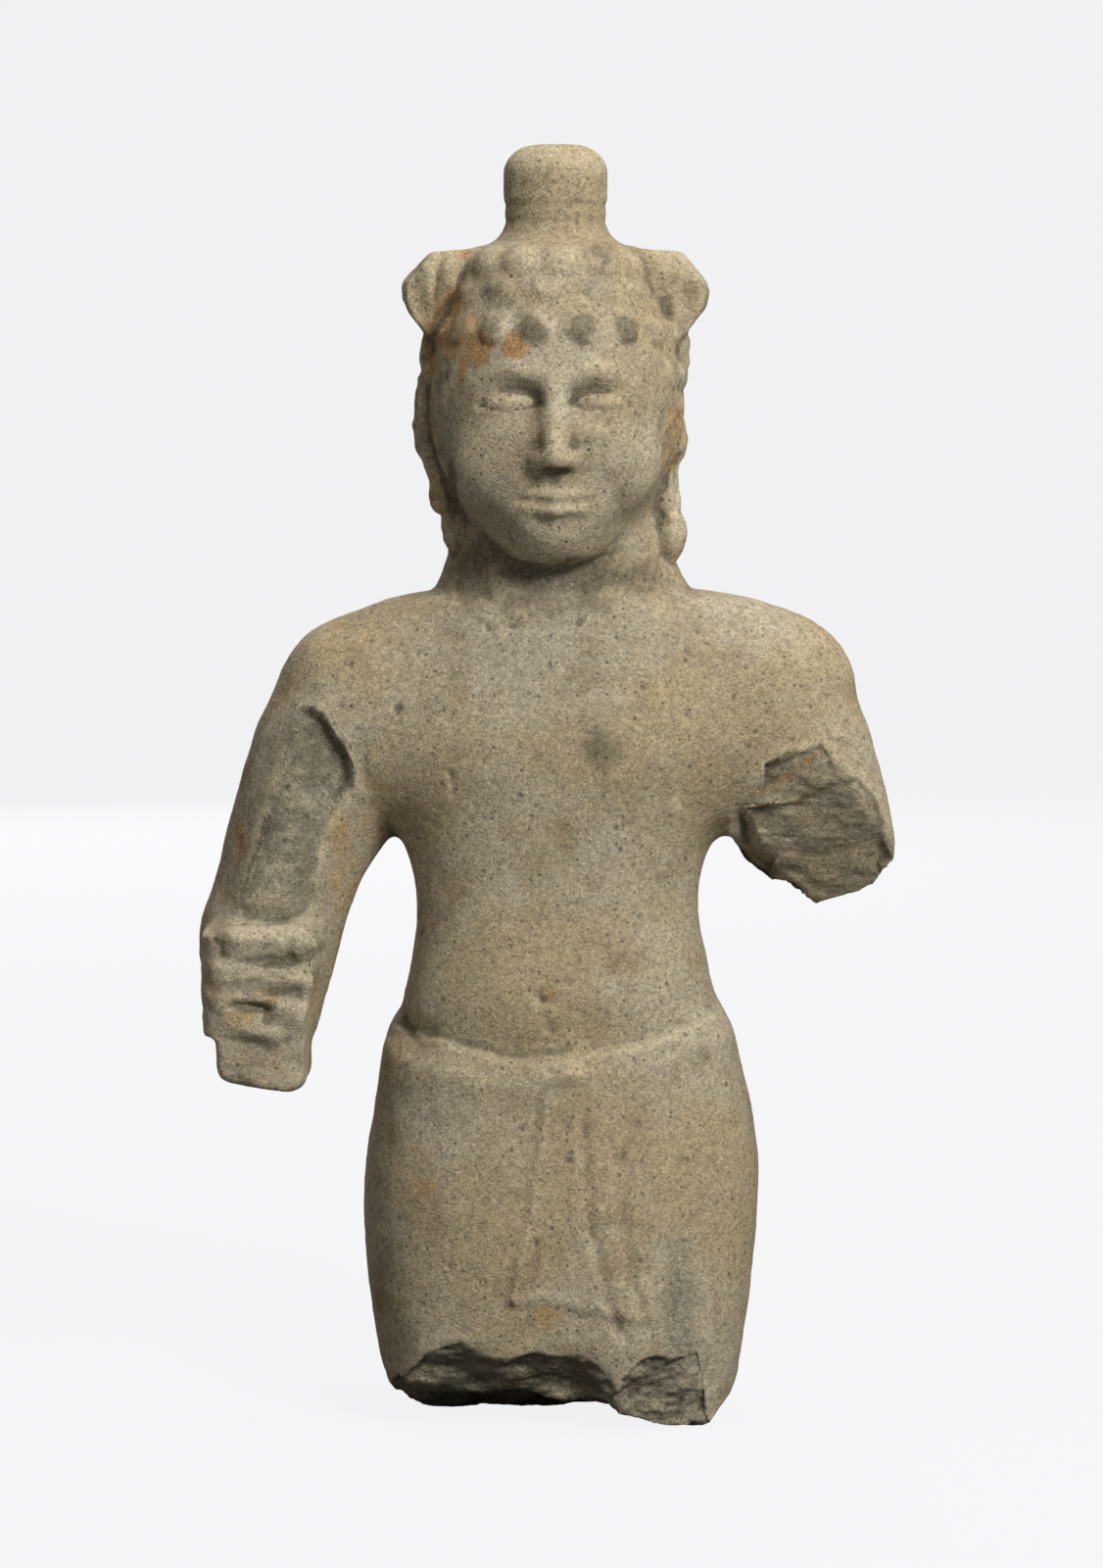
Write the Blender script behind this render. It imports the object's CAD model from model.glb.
# %% [markdown]
# A broken sandstone figure
#
# A small statue of a youthful god, carved in one block of sandstone long ago: curled
# hair with a topknot and two side tufts, a bare trunk, one raised fist, the stump of
# the other arm, and a wrapped cloth down to the break above the knees. It is about
# half a metre high, and it stands on that break.
#
# The lesson shows how a plain solid of the right size becomes worn stone: the solid is
# smoothed and given a fine even skin, the skin is carved with measured strokes, the
# breaks are roughened, and a grainy stone finish is built from a few node patterns.

# %% Load the frame
import math

import bpy
import numpy as np
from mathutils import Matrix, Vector, kdtree


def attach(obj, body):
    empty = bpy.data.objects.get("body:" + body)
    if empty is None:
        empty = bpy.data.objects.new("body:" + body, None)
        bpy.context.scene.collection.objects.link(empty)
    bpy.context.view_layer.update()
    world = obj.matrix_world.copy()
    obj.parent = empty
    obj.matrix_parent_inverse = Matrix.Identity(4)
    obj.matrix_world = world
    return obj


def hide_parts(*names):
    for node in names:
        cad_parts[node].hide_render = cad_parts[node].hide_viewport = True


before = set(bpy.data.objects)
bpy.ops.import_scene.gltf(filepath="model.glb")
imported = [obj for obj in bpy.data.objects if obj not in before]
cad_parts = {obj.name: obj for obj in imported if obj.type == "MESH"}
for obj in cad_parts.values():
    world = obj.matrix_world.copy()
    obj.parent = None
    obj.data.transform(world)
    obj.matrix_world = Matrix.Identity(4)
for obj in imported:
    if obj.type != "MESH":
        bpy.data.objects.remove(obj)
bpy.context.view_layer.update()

MM = 0.001  # the scene is in metres, and the carving is worked out in millimetres

# %% [markdown]
# The camera
#
# The photograph looks at the figure from straight in front and a little above, through
# a long lens, so that the near and far sides are drawn at almost the same size. A
# camera two metres away with a long lens gives the same even drawing.

# %% Place the camera
PHOTO = {"elevation": 5, "distance": 2.0, "lens": 118.2, "aim": (0.0013, 0, 0.245)}

tilt = math.radians(PHOTO["elevation"])
away = Vector((0, -math.cos(tilt), math.sin(tilt)))
bpy.ops.object.camera_add(location=Vector(PHOTO["aim"]) + away * PHOTO["distance"])
camera = bpy.context.object
camera.rotation_mode = "QUATERNION"
camera.rotation_quaternion = (-away).to_track_quat("-Z", "Y")
camera.data.lens = PHOTO["lens"]
camera.data.sensor_width = 36
bpy.context.scene.camera = camera
print("the camera is at", [round(v, 3) for v in camera.location])

# %% [markdown]
# The block
#
# A carver starts from a block that already has the big shapes, and so does this
# lesson. A copy of the solid is welded, its triangles are paired into quads, and two
# rounds of subdivision take its facets away. A voxel remesh then gives it one even
# skin of small quads, because carving needs points everywhere, not only where the
# solid happened to have corners. Sculpting by hand would do the same with a brush. A
# drum set into the stump first gives its break the stone it needs down to its edge.

# %% Make the block
SKIN = 1.05 * MM  # side of the small quads that are carved
WELD = 0.01 * MM
FLAT_PAIR = math.radians(60)  # two triangles that bend less than this become a quad
DRUM = {"centre": (108.5, 9.5, 209.5), "size": (21.5, 14, 25)}  # half width, height, depth


def only(piece):
    """Selects one piece and nothing else."""
    bpy.ops.object.select_all(action="DESELECT")
    piece.select_set(True)
    bpy.context.view_layer.objects.active = piece


def modify(piece, kind, **settings):
    """Adds one modifier, sets it and applies it."""
    only(piece)
    added = piece.modifiers.new(kind.lower(), kind)
    for name, value in settings.items():
        setattr(added, name, value)
    bpy.ops.object.modifier_apply(modifier=added.name)


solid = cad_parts["stone_figure"]
stone = bpy.data.objects.new("carved_stone", solid.data.copy())
bpy.context.scene.collection.objects.link(stone)
only(stone)
bpy.ops.object.mode_set(mode="EDIT")
bpy.ops.mesh.select_all(action="SELECT")
bpy.ops.mesh.remove_doubles(threshold=WELD)
bpy.ops.mesh.tris_convert_to_quads(face_threshold=FLAT_PAIR)
bpy.ops.mesh.normals_make_consistent(inside=False)
bpy.ops.object.mode_set(mode="OBJECT")
modify(stone, "SUBSURF", levels=2, render_levels=2)

bpy.ops.object.select_all(action="DESELECT")
bpy.ops.mesh.primitive_cylinder_add(
    vertices=32,
    radius=MM,
    depth=MM,
    location=[v * MM for v in DRUM["centre"]],
    rotation=(math.radians(90), 0, 0),
    scale=DRUM["size"],
)
bpy.context.object.select_set(True)
stone.select_set(True)
bpy.context.view_layer.objects.active = stone
bpy.ops.object.join()
modify(stone, "REMESH", mode="VOXEL", voxel_size=SKIN)
print("the skin to carve has", len(stone.data.vertices), "points")

# %% [markdown]
# Points to carve
#
# Carving moves the skin's points, so they are taken out as one array of millimetres
# with their normals, worked on together, and put back. A point's neighbours are known
# from the skin's edges, and their average smooths it, as a rasp does. A brush could
# do all this by hand, but numbers give the same stone on each run.

# %% Read the skin and put it back
def points_of(piece):
    flat = np.empty(3 * len(piece.data.vertices))
    piece.data.vertices.foreach_get("co", flat)
    return flat.reshape(-1, 3) / MM


def put_back(piece, points):
    piece.data.vertices.foreach_set("co", (points * MM).ravel())
    piece.data.update()


def normals_of(piece, points):
    """Normals of the skin as it is now, with the points put back first."""
    put_back(piece, points)
    flat = np.empty(3 * len(points))
    piece.data.vertices.foreach_get("normal", flat)
    return flat.reshape(-1, 3)


def edges_of(piece):
    ends = np.empty(2 * len(piece.data.edges), int)
    piece.data.edges.foreach_get("vertices", ends)
    return ends.reshape(-1, 2)


def smoothed(values, edges, rounds, free=None):
    """The average of each point's neighbours, over and over, perhaps only at some."""
    free = np.ones(len(values), bool) if free is None else free
    edges = edges[free[edges].any(axis=1)]
    near, ends = np.unique(edges, return_inverse=True)
    a, b = ends.reshape(-1, 2).T
    local, moves = values[near], free[near]
    count = np.bincount(a, minlength=len(near)) + np.bincount(b, minlength=len(near))
    for _ in range(rounds):
        for column in local.T:
            total = np.bincount(a, column[b], len(near)) + np.bincount(b, column[a], len(near))
            column[moves] = (total / count)[moves]
    values = values.copy()
    values[near] = local
    return values


points = points_of(stone)
edges = edges_of(stone)
print("the skin has", len(edges), "edges")

# %% [markdown]
# Ramps and noise
#
# Two curves say how far a tool reaches: a ramp that eases from 0 to 1, and a bell.
# Noise gives what a hand and the weather leave. It is a small box of random numbers,
# read smoothly between its corners and repeated at finer scales.

# %% Ramps and noise
def ease(start, end, value):
    """0 up to start and 1 from end on, with a soft ramp between, also backwards."""
    t = np.clip((value - start) / (end - start), 0, 1)
    return t * t * (3 - 2 * t)


def bell(value, width):
    return np.exp(-((value / width) ** 2))


BOX = np.random.default_rng(7).random((32, 32, 32)) * 2 - 1


def noise(points, size, octaves=1, shift=0.0):
    """Smooth lumps of about the given size in millimetres, from -1 to 1."""
    total = 0
    for octave in range(octaves):
        place = points / np.asarray(size, float) * 2**octave + 11.3 * octave + shift
        low = np.floor(place).astype(int)
        t = place - low
        t = t * t * (3 - 2 * t)
        value = 0
        for corner in np.ndindex(2, 2, 2):
            at = (low + corner) % 32
            near = np.prod(np.where(corner, t, 1 - t), axis=1)
            value = value + near * BOX[at[:, 0], at[:, 1], at[:, 2]]
        total = total + value / 2**octave
    return total / (2 - 0.5 ** (octaves - 1))


print("20 mm lumps on the skin reach", round(float(noise(points, 20).max()), 2))

# %% [markdown]
# Forms as distances
#
# The head needs more than strokes: lids, lips and curls have to sit exactly. It is
# therefore described as a distance, a number that is negative inside the stone and
# positive outside. Balls, limbs and planes have simple distances, and two small
# functions join and cut them with a soft edge, as a carver leaves it. The skin is then
# pulled onto the form where that number is zero.

# %% Distances of simple forms
def length(vectors):
    return np.sqrt((vectors**2).sum(axis=1))


def join(a, b, fillet):
    """Two forms run together, with a fillet of about the given size."""
    h = np.maximum(fillet - np.abs(a - b), 0) / fillet
    return np.minimum(a, b) - h * h * fillet / 4


def cut(a, b, easing):
    """The first form less the second."""
    return -join(-a, b, easing)


def ball(p, centre, radii):
    """An ellipsoid with one radius along each axis."""
    u = (p - centre) / np.asarray(radii, float)
    near = length(u)
    return near * (near - 1) / np.maximum(length(u / radii), 1e-9)


def limb(p, start, end, radius, far_radius=None):
    """A round limb between two points, tapering if it has a far radius."""
    along = np.subtract(end, start)
    t = np.clip((p - start) @ along / (along @ along), 0, 1)
    taper = 0 if far_radius is None else far_radius - radius
    return length(p - start - t[:, None] * along) - radius - taper * t


def plane(p, through, outward):
    """How far points are on the outer side of a plane."""
    return (p - through) @ np.divide(outward, np.linalg.norm(outward))


def disc(p, centre, radius, half, corner):
    """An upright disc with rounded rims."""
    side = length((p - centre)[:, :2]) - radius + corner
    end = np.abs(p[:, 2] - centre[2]) - half + corner
    outside = np.hypot(np.maximum(side, 0), np.maximum(end, 0))
    return outside + np.minimum(np.maximum(side, end), 0) - corner


def pull(p, form, share=1.0, rounds=7):
    """Moves points straight onto a form, by a share that may differ for each point."""
    step = 0.15
    for _ in range(rounds):
        off = form(p)
        slope = np.stack([form(p + step * axis) - off for axis in np.eye(3)], axis=1)
        slope /= np.maximum(length(slope), 1e-9)[:, None]
        p = p - (share * np.clip(off, -2.5, 2.5))[:, None] * slope
    return p


def chisel(p, tool):
    """Takes away what a tool's form reaches: points inside it go back to its skin."""
    inside = np.flatnonzero(tool(p) < 0)
    p = p.copy()
    p[inside] = pull(p[inside], tool)
    return p


# %% [markdown]
# The face
#
# The face is an ordinary calm one, on the proportions that drawing books give: the
# eyes are halfway down the head, the nose ends halfway from brow to chin, and the
# mouth lies a third of the way from the nose to the chin. One half is described and
# the other mirrors it. The eyes are lowered: a ball under one broad lid, with a line
# where the lids meet and another for the fold. The lips are two soft rolls.

# %% Describe the face
MIDDLE = 2.8  # the head's middle, to the viewer's right of the origin
BACK = 2.9  # the head's centre from front to back
FRONT = -48.1  # the plane of the forehead and chin
EYES, NOSE, MOUTH, CHIN = 394, 368, 355.5, 344.5
EYE_GAP = 17.2


def mirrored(p):
    q = p.copy()
    q[:, 0] = np.abs(p[:, 0] - MIDDLE)
    return q


def eye_form(face, q):
    socket = ball(q, (EYE_GAP + 0.8, FRONT - 2.2, EYES + 1), (12.5, 5.8, 7.4))
    face = cut(face, socket, 8)
    globe = ball(q, (EYE_GAP, FRONT + 9.2, EYES - 1), (11.4, 8, 6.8))
    face = join(face, globe, 2.5)
    across = (q[:, 0] - EYE_GAP) / 11.5
    arch = 1 - np.clip(across, -1, 1) ** 2
    ahead = ease(FRONT + 13, FRONT + 9, q[:, 1]) * ease(1.2, 0.9, np.abs(across))
    for lift, width, deep in ((-2.6, 1.1, 0.9), (4.4, 1.3, 0.7)):
        line = EYES - 1 + lift * arch - 0.5 * across
        face = face + deep * ahead * bell(q[:, 2] - line, width)
    return face


def nose_form(face, q):
    bridge = limb(q, (0, FRONT + 1.6, EYES + 9), (0, FRONT - 5.4, NOSE + 5), 3.1, 4.9)
    wing = ball(q, (5.1, FRONT - 0.8, NOSE + 3.9), (3.9, 5.2, 3.7))
    face = join(face, join(bridge, wing, 3.5), 5)
    under = ball(q, (3, FRONT - 3, NOSE - 0.4), (2.4, 3, 1.3))
    return cut(face, under, 2)


def mouth_form(face, q):
    muzzle = ball(q, (0, FRONT + 11, MOUTH), (19, 10, 12))
    face = join(face, muzzle, 8)
    upper = limb(q, (0, FRONT - 0.5, MOUTH + 2.8), (13, FRONT + 4.4, MOUTH + 2.2), 3, 1.7)
    lower = limb(q, (0, FRONT - 0.1, MOUTH - 3), (9.5, FRONT + 3, MOUTH - 1.8), 3.2, 2.3)
    face = join(join(face, upper, 3), lower, 3)
    parting = limb(q, (0, FRONT - 3.6, MOUTH), (14.5, FRONT + 1.8, MOUTH + 1.2), 1.1)
    groove = limb(q, (0, FRONT - 3.4, MOUTH + 7), (0, FRONT - 4.5, NOSE - 1), 1.8)
    crease = limb(q, (0, FRONT - 2.6, MOUTH - 8.4), (7, FRONT - 0.6, MOUTH - 7.6), 1.2)
    return cut(cut(cut(face, parting, 2), groove, 4), crease, 6)


def skull_form(p):
    braincase = ball(p, (MIDDLE, BACK, 401), (48, 50, 56))
    mask = ball(p, (MIDDLE, BACK - 11, 385), (43.5, 41.5, 53))
    chin = ball(p, (MIDDLE, BACK - 28, CHIN), (18.5, 18.5, 13.5))
    return join(join(braincase, mask, 14), chin, 14)


def face_form(p):
    q = mirrored(p)
    brow = limb(q, (4, FRONT + 2, EYES + 9), (15, FRONT + 2.6, EYES + 11.8), 2.2, 2.2)
    brow_end = limb(q, (15, FRONT + 2.6, EYES + 11.8), (29, FRONT + 12.5, EYES + 7.5), 2.2, 1.4)
    cheek = ball(q, (21, FRONT + 17, EYES - 24), (17, 13, 16))
    face = eye_form(skull_form(p), q)
    face = join(join(face, np.minimum(brow, brow_end), 5), cheek, 10)
    return mouth_form(nose_form(face, q), q)


print("eyes, nose and mouth are", EYES, NOSE, MOUTH, "mm above the ground")

# %% [markdown]
# The hair
#
# The hair is a cap above a line that slants from the brow to the nape, and it is set
# all round with snail-shell curls in staggered rows. Each curl is a round boss, worn
# by the weather more on some than on others, with a shallow pit where its turn ended.
# A loop places the rows, so a change to one number moves a whole row.

# %% Describe the hair
HAIR_LINE = ((MIDDLE, FRONT, 415), (0, -0.78, -1))
DOME = {"centre": (MIDDLE, BACK, 400), "half": 48.8, "deep": 51.5, "up": 60}
CURL = {"radius": 8.2, "turn": 3.1}
CURL_ROWS = (  # height, curls round the head, the first one's angle, ring size, relief
    (449.5, 13, 3.5, 0.67, 1.7), (438.5, 13, -4.5, 0.77, 2.4), (421, 17, -8.3, 0.937, 2.9),
    (403.5, 18, 0, 0.998, 2.8), (386, 18, 10, 0.972, 2.6), (369, 17, 0, 0.856, 2.4),
    (353.5, 16, 0, 0.81, 2.2),
)


def curl_places():
    places = []
    for height, count, start, ring, relief in CURL_ROWS:
        for i in range(count):
            turn = math.radians(start + 360 * i / count)
            x = MIDDLE + DOME["half"] * ring * math.sin(turn)
            y = BACK - DOME["deep"] * ring * math.cos(turn)
            place = np.array([x, y, height])
            at_ear = abs(y - BACK - 1) < 13 and height < 400
            if plane(place[None], *HAIR_LINE)[0] < -3 and not at_ear:
                places.append((place, relief))
    return places


def curls_form(p):
    draws = np.random.default_rng(21)
    heart = np.array(DOME["centre"])
    locks = np.full(len(p), 99.0)
    for place, relief in curl_places():
        out = (place - heart) / np.linalg.norm(place - heart)
        proud = relief * draws.uniform(0.75, 1.15)
        near = length(p - (place - out * (CURL["radius"] - proud))) - CURL["radius"]
        rim = length(p - (place + out * proud)) - CURL["turn"]
        boss = near + 0.7 * bell(rim + CURL["turn"], 1.9) + 0.25 * bell(rim, 0.9)
        locks = np.minimum(locks, boss)
    return locks


def hair_form(p):
    dome = ball(p, DOME["centre"], (DOME["half"], DOME["deep"], DOME["up"]))
    crown = disc(p, (MIDDLE, BACK, 432), 36.5, 20.5, 12)
    nape = ball(p, (MIDDLE, BACK + 12, 360), (42, 31, 24))
    cap = join(join(dome, crown, 6), nape, 10)
    return cut(join(cap, curls_form(p), 2), -plane(p, *HAIR_LINE), 3)


print("the hair has", len(curl_places()), "curls")

# %% [markdown]
# Topknot and side tufts
#
# The topknot is a round-topped post with two shallow rings round its foot. The tufts
# flare from the sides of the crown. Each is a ball cut off by five planes, flat on top
# and at a slant at the ends, with two grooves between its locks.

# %% Describe the topknot and the tufts
TOPKNOT = {"top": 491.7, "half": 20, "deep": 17, "corner": 11, "rings": (468.5, 462)}
TUFT_FACES = (  # a point on each plane and the way it looks out
    ((44, 0, 451), (0.05, 0, 1)),
    ((54.6, 0, 443.5), (0.76, -0.1, 0.65)),
    ((59, 0, 434), (0.97, -0.12, -0.1)),
    ((56.4, 0, 427.5), (0.79, 0, -0.62)),
    ((50, -13.5, 436), (0.32, -1, 0.1)),
)
TUFT_GROOVES = (((41, -19, 418), (47, -18, 452)), ((51, -17, 421), (55, -15, 446)))


def topknot_form(p):
    x, y, z = (p - (MIDDLE, BACK, 0)).T
    around = np.hypot(x / TOPKNOT["half"], y / TOPKNOT["deep"])
    pinch = 1 - 0.03 * bell(z - 465, 4) + 0.16 * ease(461, 450, z)
    for ring in TOPKNOT["rings"]:
        pinch = pinch - 0.03 * bell(z - ring, 1.6)
    wall = (around / pinch - 1) * TOPKNOT["deep"] + TOPKNOT["corner"]
    lid = z - TOPKNOT["top"] + TOPKNOT["corner"]
    knot = np.hypot(np.maximum(wall, 0), np.maximum(lid, 0)) - TOPKNOT["corner"]
    return np.maximum(knot, 425 - z)


def tuft_form(p, side):
    q = p - (MIDDLE, BACK, 0)
    q[:, 0] *= side
    lock = ball(q, (40, -1, 430), (27, 14.5, 26))
    for through, outward in TUFT_FACES:
        lock = cut(lock, -plane(q, through, outward), 2.4)
    for foot, top in TUFT_GROOVES:
        lock = cut(lock, limb(q, foot, top, 4.6), 2)
    below = ball(q, (39, -1, 411), (13, 12, 17))
    return join(lock, below, 2)


print("the topknot ends", TOPKNOT["top"], "mm above the ground")

# %% [markdown]
# Ears and neck
#
# The ears are long, with the lobes pulled down by pendants, and the left one keeps its
# pendant whole. The two differ a little in place, so their measures stand in a table
# and one function describes both. The neck is a stack of ovals between the head and
# the shoulders, and together these forms are the whole head.

# %% Describe the ears, the neck and the whole head
EARS = {  # shell and lobe from the head's middle, height of the shell, pendant, its drop
    -1: (49.6, 43, 388, (39.4, 346), 8.5),
    1: (45.6, 44, 384, (45.6, 343), 10.5),
}
NECK = {  # heights, and the middle, half width, front and back of the neck at each
    "height": (300, 318, 334, 356),
    "middle": (6.2, 5.7, 4.7, 3.7),
    "half": (62, 50, 43.5, 41),
    "front": (-31.1, -27.1, -24.1, -22.1),
    "back": (41.9, 37.9, 35.9, 36.9),
}


def ear_form(p, side):
    shell, lobe, height, (pendant, hangs), drop = EARS[side]
    q = p - (MIDDLE, BACK, 0)
    q[:, 0] *= side
    rim = ball(q, (shell, 0, height), (5.4, 11, 17))
    bowl = ball(q, (shell + 5.5, -2.5, height + 2), (4.4, 5.5, 11))
    fold = ball(q, (shell + 2.8, -5.4, height - 5), (2, 1.8, 5))
    hanging = limb(q, (shell - 2.6, -4, height - 12), (lobe, -6, 354), 4.4)
    slit = limb(q, (lobe + 3.2, -7, 372), (lobe + 3, -8, 357), 1.4)
    bead = ball(q, (pendant, -5, hangs), (4.8, 7.5, drop))
    ring = limb(q, (pendant + 1, -12, hangs + drop - 3), (pendant + 5, -4, hangs + drop - 3), 1)
    ear = join(cut(rim, bowl, 2), np.minimum(hanging, fold), 3)
    return cut(cut(join(ear, bead, 2), slit, 1.5), ring, 1.5)


def neck_form(p):
    z = p[:, 2]
    middle, half, front, back = (
        np.interp(z, NECK["height"], NECK[name]) for name in ("middle", "half", "front", "back")
    )
    deep = (back - front) / 2
    u = np.abs(p[:, 0] - middle) / half
    v = np.abs(p[:, 1] - (back + front) / 2) / deep
    reach = (u**2.1 + v**2.1) ** (1 / 2.1)
    inside = (reach - 1) * np.minimum(half, deep)
    above = z - NECK["height"][-1]
    return np.where(above > 0, np.hypot(np.maximum(inside, 0), above), inside)


def head_form(p):
    head = np.minimum(face_form(p), hair_form(p))
    head = join(head, topknot_form(p), 4)
    head = join(head, np.minimum(tuft_form(p, -1), tuft_form(p, 1)), 2.5)
    head = join(head, np.minimum(ear_form(p, -1), ear_form(p, 1)), 1.5)
    return join(head, neck_form(p), 4)


print("the neck is described from", NECK["height"][0], "to", NECK["height"][-1], "mm")

# %% [markdown]
# Carving the head
#
# Only the points above the shoulders are pulled onto the head's form, and less and
# less towards the neck's foot, so that no seam shows. The hair's outer sides are worn
# ragged, so some lumps are added there.

# %% Pull the skin onto the head
head = np.flatnonzero(points[:, 2] > 314)
reach = ease(316, 334, points[head, 2])
points[head] = pull(points[head], head_form, reach)
normals = normals_of(stone, points)
side = np.abs(points[:, 0] - MIDDLE)
ragged = ease(37, 43, side) * ease(332, 342, points[:, 2]) * ease(428, 416, points[:, 2])
ragged = np.maximum(ragged, 0.6 * ease(44, 50, side) * ease(412, 420, points[:, 2]))
points = points + (ragged * (1.1 * noise(points, 6, 2, 6.6) + 0.2))[:, None] * normals
print("pulled", len(head), "points onto the head's form")

# %% [markdown]
# Strokes
#
# The rest is carved with strokes. A stroke follows a line drawn on the front of the
# figure and pushes the skin in or out along its normals, most on the line and less to
# its sides. Only skin that faces the front answers to it, so the back stays plain.

# %% Define a stroke
def line_distance(p, line):
    """Distance of each point from a line of (x, z) places, seen from the front."""
    seen = p[:, [0, 2]]
    nearest = np.full(len(p), 1e9)
    for start, end in zip(line[:-1], line[1:]):
        along = np.subtract(end, start)
        t = np.clip((seen - start) @ along / max(along @ along, 1e-9), 0, 1)
        off = seen - start - t[:, None] * along
        nearest = np.minimum(nearest, np.hypot(off[:, 0], off[:, 1]))
    return nearest


def within(p, ring, wander=0.0):
    """Distance outside a closed outline seen from the front, and negative inside it."""
    q = p + wander * np.stack([noise(p, 5, 2, 2.7), 0 * p[:, 1], noise(p, 5, 2, 8.3)], axis=1)
    odd = np.zeros(len(q), bool)
    for (x0, z0), (x1, z1) in zip(ring, ring[1:] + ring[:1]):
        if z0 != z1:
            over = x0 + (q[:, 2] - z0) * (x1 - x0) / (z1 - z0)
            odd ^= ((z0 > q[:, 2]) != (z1 > q[:, 2])) & (q[:, 0] < over)
    off = line_distance(q, ring + ring[:1])
    return np.where(odd, -off, off)


def facing(p, n):
    """1 on skin that faces the front and 0 on the sides and the back."""
    return ease(0.1, -0.3, n[:, 1]) * ease(8, 0, p[:, 1])


def stroke(p, n, line, width, height):
    """Raises the skin along a line, or sinks it if the height is negative."""
    lift = height * bell(line_distance(p, line), width) * facing(p, n)
    return p + lift[:, None] * n


def carved(p, n, strokes):
    """The points after several strokes, each given by its line, width and height."""
    for line, width, height in strokes:
        p = stroke(p, n, line, width, height)
    return p


def part_of(p, low, high):
    """Which points are inside a box."""
    return np.all((p > low) & (p < high), axis=1)


normals = normals_of(stone, points)
print("strokes reach", int((facing(points, normals) > 0).sum()), "points in front")

# %% [markdown]
# The cloth
#
# The cloth is wrapped round the hips. Its upper edge is a rolled lip that dips in
# front of the belly, a knot pulls it together in the middle, and from there a flat
# panel falls to a hem that still shows in places. The lines are worn almost away, so
# each stroke is broad and at most a millimetre deep.

# %% Carve the cloth
BELT = (  # the cloth's upper edge, from the viewer's left, as (x, z)
    (-60, 150.5), (-50, 149), (-38, 146.5), (-27, 143.5), (-15, 141), (-4, 141), (8, 142.5),
    (22, 144.5), (38, 147.5), (52, 152), (66, 157.5),
)


def beside(line, right=0.0, up=0.0):
    return [(x + right, z + up) for x, z in line]


PANEL_LEFT = ((-4, 128), (-5.5, 115), (-8, 96), (-10, 84), (-14.5, 66), (-17, 51))
PANEL_RIGHT = ((14, 119), (15, 100), (16, 81), (20.5, 66.5), (23, 52), (30, 36))
PANEL_OUTER = ((28.5, 107), (29, 81), (32, 59), (37.5, 43.5))
HEM = ((-16, 52), (0, 54), (12, 50), (23, 49), (36, 45))
KNOT = ((-9, 138), (-6, 131.5), (12, 131), (15, 138))

CLOTH = (  # line, width, and how far it stands out, or in if it is negative
    (beside(BELT, up=5), 3, -0.6),
    (beside(BELT, up=0.6), 1.6, 0.7),
    (beside(BELT, up=-4), 2.6, -0.2),
    (KNOT, 2.4, -0.35),
    (((-4, 135.5), (9, 135.5)), 3.6, -1),
    (PANEL_LEFT, 2, -0.75),
    (beside(PANEL_LEFT, right=4), 2.4, 0.4),
    (PANEL_RIGHT, 2, -0.85),
    (beside(PANEL_RIGHT, right=-4), 2.4, 0.45),
    (PANEL_OUTER, 2.4, -0.9),
    (beside(PANEL_LEFT, right=-6, up=-4)[2:], 1.9, -0.5),
    (HEM, 2.8, 0.5),
    (beside(HEM, up=-4), 2.4, -0.5),
    (((-63, 66), (-64, 17)), 3.5, -0.7),
)
points = carved(points, normals, CLOTH)
print("carved the cloth with", len(CLOTH), "strokes")

# %% [markdown]
# The tuft and the trunk
#
# Two grooves part the locks of the tuft on the viewer's left. The navel is a crooked
# nick, a shallow line runs across the foot of the neck, the chest keeps one old tool
# mark, and the belt ends in a notch at the hip.

# %% Carve the tuft and the trunk
TUFT_LOCKS = (
    (((-41, 451), (-43, 436), (-44, 426)), 1.8, -1.3),
    (((-50, 449), (-53, 437)), 1.7, -0.9),
)
NAVEL = (
    (((-5, 169), (-2, 166), (1, 167)), 1.8, -0.9),
    (((-2, 166), (-1.5, 159), (2, 154)), 2, -0.8),
    (((12, 160), (13, 156)), 3, -0.5),
)
NECK_LINE = (
    (((-15, 308), (-4, 307.4), (12, 308.4)), 1.6, -0.7),
    (((-24, 320), (-18, 311), (-14, 308)), 3, -0.8),
)
TOOL_MARK = ((((-37.6, 252), (-37.2, 244)), 1.5, -0.9),)
BELT_NOTCH = ((((-58, 162), (-56, 155), (-54, 151)), 2.4, -1.5),)

marks = TUFT_LOCKS + NAVEL + NECK_LINE + TOOL_MARK + BELT_NOTCH
points = carved(points, normals, marks)
print("carved the tuft and the trunk with", len(marks), "strokes")

# %% [markdown]
# The fist
#
# Four fingers lie one above the other round the stub of what they held, with the
# thumb's end and two knuckles beside them. Each finger is two limbs that meet at its
# bend, one across the front and one round the hand's outer side, in front of a flat
# palm. The skin that faces them is pulled onto them. Strokes then wear the first
# finger hollow and cut the slot in the third.

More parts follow.
